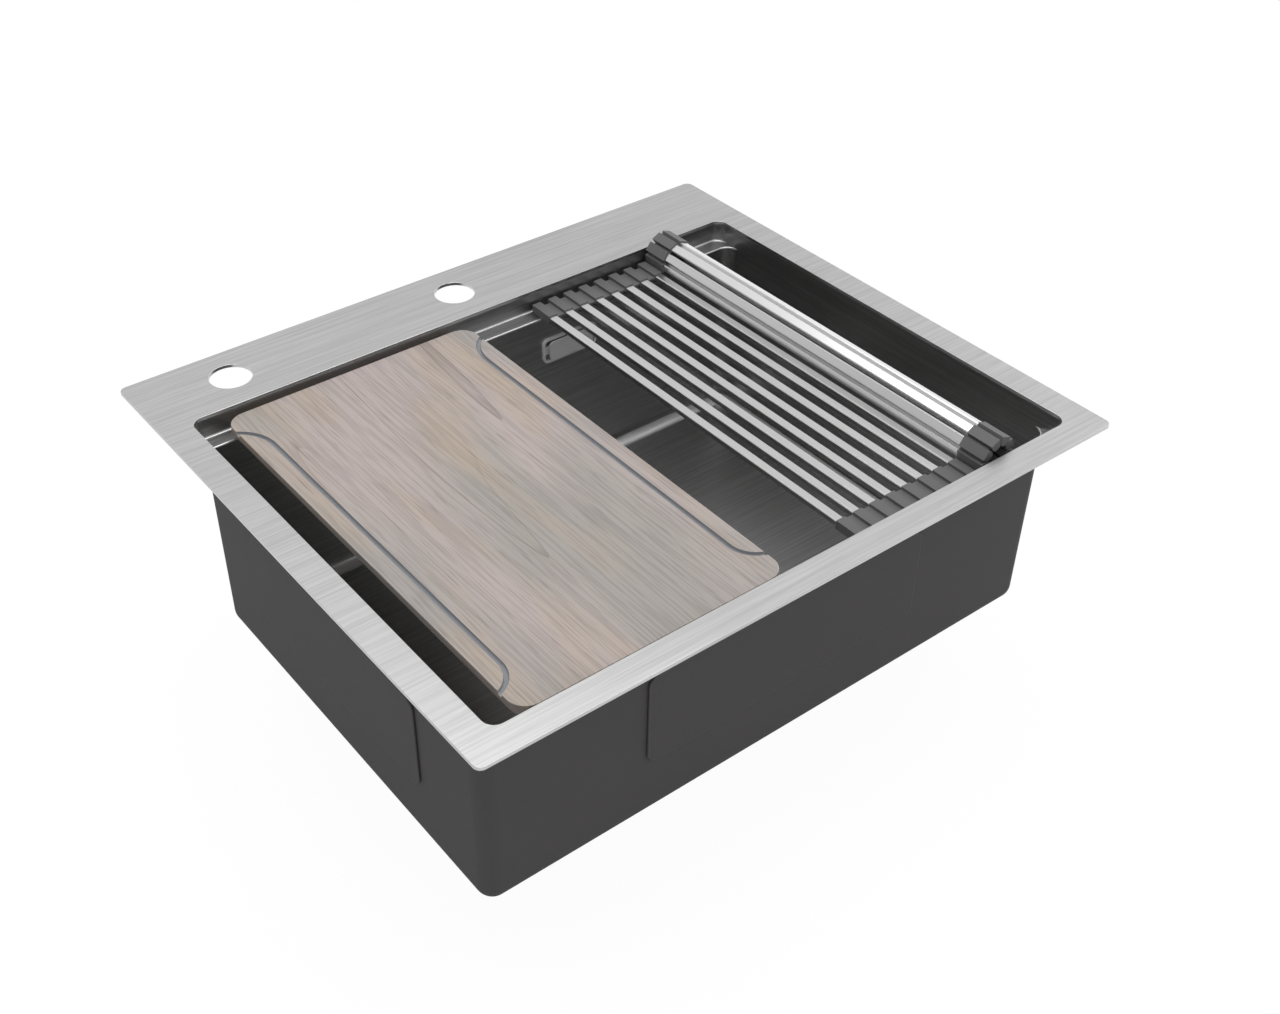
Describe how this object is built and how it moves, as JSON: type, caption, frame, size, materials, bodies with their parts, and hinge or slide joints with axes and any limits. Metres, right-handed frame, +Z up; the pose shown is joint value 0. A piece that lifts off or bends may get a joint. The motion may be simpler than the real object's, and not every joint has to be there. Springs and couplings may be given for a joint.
{
  "type": "workstation kitchen sink",
  "caption": "Drop-in steel workstation sink with tap deck, ledges, cutting board, roll-up drying rack, overflow and basket waste.",
  "frame": {"origin": "centre of the rim's outline on the worktop plane, at the underside of the rim's seal", "axes": "+X to the right, +Y to the back, where the tap deck is, +Z up out of the worktop"},
  "size_m": [0.59, 0.51, 0.2876],
  "materials": {
    "rim_steel": "brushed",
    "bowl_steel": "brushed",
    "coat": "sprayed matt",
    "pad_rubber": "matt",
    "foam": "matt",
    "seal_rubber": "matt",
    "black_plastic": "satin",
    "hose_plastic": "satin",
    "waste_steel": "polished",
    "clip_steel": "zinc plated",
    "oak": "oiled, limed",
    "bar_steel": "satin",
    "grey_silicone": "matt"
  },
  "bodies": {
    "sink": {"rim_deck": "rim_steel", "rim_seal": "foam", "bowl": "bowl_steel", "undercoat": "coat", "pad_front": "pad_rubber", "pad_back": "pad_rubber", "pad_left": "pad_rubber", "pad_right": "pad_rubber", "pad_floor_left": "pad_rubber", "pad_floor_right": "pad_rubber", "overflow_frame": "bowl_steel", "overflow_cover": "bowl_steel", "overflow_screws": "waste_steel", "overflow_gasket": "seal_rubber", "overflow_housing": "black_plastic", "overflow_hose": "hose_plastic", "hose_nut_top": "black_plastic", "hose_nut_bottom": "black_plastic", "waste_flange": "waste_steel", "waste_upper_seal": "seal_rubber", "waste_lower_seal": "seal_rubber", "waste_body": "black_plastic", "waste_screw": "waste_steel", "clip_studs": "clip_steel", "clip_nuts": "clip_steel"},
    "strainer_basket": {"basket": "waste_steel", "basket_seal": "seal_rubber", "basket_knob": "waste_steel"},
    "cutting_board": {"board": "oak"},
    "rack": {"rack_bars": "bar_steel", "rack_sleeves_back": "grey_silicone", "rack_sleeves_front": "grey_silicone"},
    "roll_link_1": {"roll_bar_1": "bar_steel", "roll_sleeves_1": "grey_silicone"},
    "roll_link_2": {"roll_bar_2": "bar_steel", "roll_sleeves_2": "grey_silicone"},
    "roll_link_3": {"roll_bar_3": "bar_steel", "roll_sleeves_3": "grey_silicone"},
    "roll_link_4": {"roll_bar_4": "bar_steel", "roll_sleeves_4": "grey_silicone"},
    "roll_link_5": {"roll_bar_5": "bar_steel", "roll_sleeves_5": "grey_silicone"},
    "roll_link_6": {"roll_bar_6": "bar_steel", "roll_sleeves_6": "grey_silicone"},
    "roll_link_7": {"roll_bar_7": "bar_steel", "roll_sleeves_7": "grey_silicone"},
    "clip_1": {"clip_arm_1": "clip_steel"},
    "clip_2": {"clip_arm_2": "clip_steel"},
    "clip_3": {"clip_arm_3": "clip_steel"},
    "clip_4": {"clip_arm_4": "clip_steel"},
    "clip_5": {"clip_arm_5": "clip_steel"},
    "clip_6": {"clip_arm_6": "clip_steel"}
  },
  "joints": [
    {"name": "board_slide", "type": "slide", "parent": "sink", "child": "cutting_board", "axis": [1, 0, 0], "range_m": [-0.025, 0.03]},
    {"name": "rack_slide", "type": "slide", "parent": "sink", "child": "rack", "axis": [1, 0, 0], "range_m": [-0.035, 0]},
    {"name": "basket_lift", "type": "slide", "parent": "sink", "child": "strainer_basket", "axis": [0, 0, 1], "range_m": [0, 0.1]},
    {"name": "unroll_1", "type": "hinge", "parent": "rack", "child": "roll_link_1", "pos_m": [0.19645, 0, -0.01185], "axis": [0, 1, 0], "range_deg": [0, 20]},
    {"name": "unroll_2", "type": "hinge", "parent": "roll_link_1", "child": "roll_link_2", "pos_m": [0.20585, 0, -0.00843], "axis": [0, 1, 0], "range_deg": [0, 42]},
    {"name": "unroll_3", "type": "hinge", "parent": "roll_link_2", "child": "roll_link_3", "pos_m": [0.21054, 0, 0.0004], "axis": [0, 1, 0], "range_deg": [0, 50]},
    {"name": "unroll_4", "type": "hinge", "parent": "roll_link_3", "child": "roll_link_4", "pos_m": [0.2068, 0, 0.00967], "axis": [0, 1, 0], "range_deg": [0, 48]},
    {"name": "unroll_5", "type": "hinge", "parent": "roll_link_4", "child": "roll_link_5", "pos_m": [0.1974, 0, 0.01309], "axis": [0, 1, 0], "range_deg": [0, 47]},
    {"name": "unroll_6", "type": "hinge", "parent": "roll_link_5", "child": "roll_link_6", "pos_m": [0.18849, 0, 0.00855], "axis": [0, 1, 0], "range_deg": [0, 27]},
    {"name": "unroll_7", "type": "hinge", "parent": "roll_link_6", "child": "roll_link_7", "pos_m": [0.18261, 0, 0.00046], "axis": [0, 1, 0], "range_deg": [0, 45]},
    {"name": "clip_swing_1", "type": "hinge", "parent": "sink", "child": "clip_1", "pos_m": [-0.278, 0.0612, -0.0163], "axis": [0, 0, 1], "range_deg": [0, 90]},
    {"name": "clip_swing_2", "type": "hinge", "parent": "sink", "child": "clip_2", "pos_m": [-0.278, -0.1224, -0.0163], "axis": [0, 0, 1], "range_deg": [0, 90]},
    {"name": "clip_swing_3", "type": "hinge", "parent": "sink", "child": "clip_3", "pos_m": [0.278, 0.1224, -0.0163], "axis": [0, 0, 1], "range_deg": [0, 90]},
    {"name": "clip_swing_4", "type": "hinge", "parent": "sink", "child": "clip_4", "pos_m": [0.278, -0.0612, -0.0163], "axis": [0, 0, 1], "range_deg": [0, 90]},
    {"name": "clip_swing_5", "type": "hinge", "parent": "sink", "child": "clip_5", "pos_m": [-0.1075, 0.238, -0.0163], "axis": [0, 0, 1], "range_deg": [0, 90]},
    {"name": "clip_swing_6", "type": "hinge", "parent": "sink", "child": "clip_6", "pos_m": [0.15, 0.238, -0.0163], "axis": [0, 0, 1], "range_deg": [0, 90]}
  ],
  "couplings": [
    {"joint": "unroll_1", "follows": "unroll_3", "ratio": 0.4},
    {"joint": "unroll_2", "follows": "unroll_3", "ratio": 0.84},
    {"joint": "unroll_4", "follows": "unroll_3", "ratio": 0.96},
    {"joint": "unroll_5", "follows": "unroll_3", "ratio": 0.94},
    {"joint": "unroll_6", "follows": "unroll_3", "ratio": 0.54},
    {"joint": "unroll_7", "follows": "unroll_3", "ratio": 0.9}
  ]
}
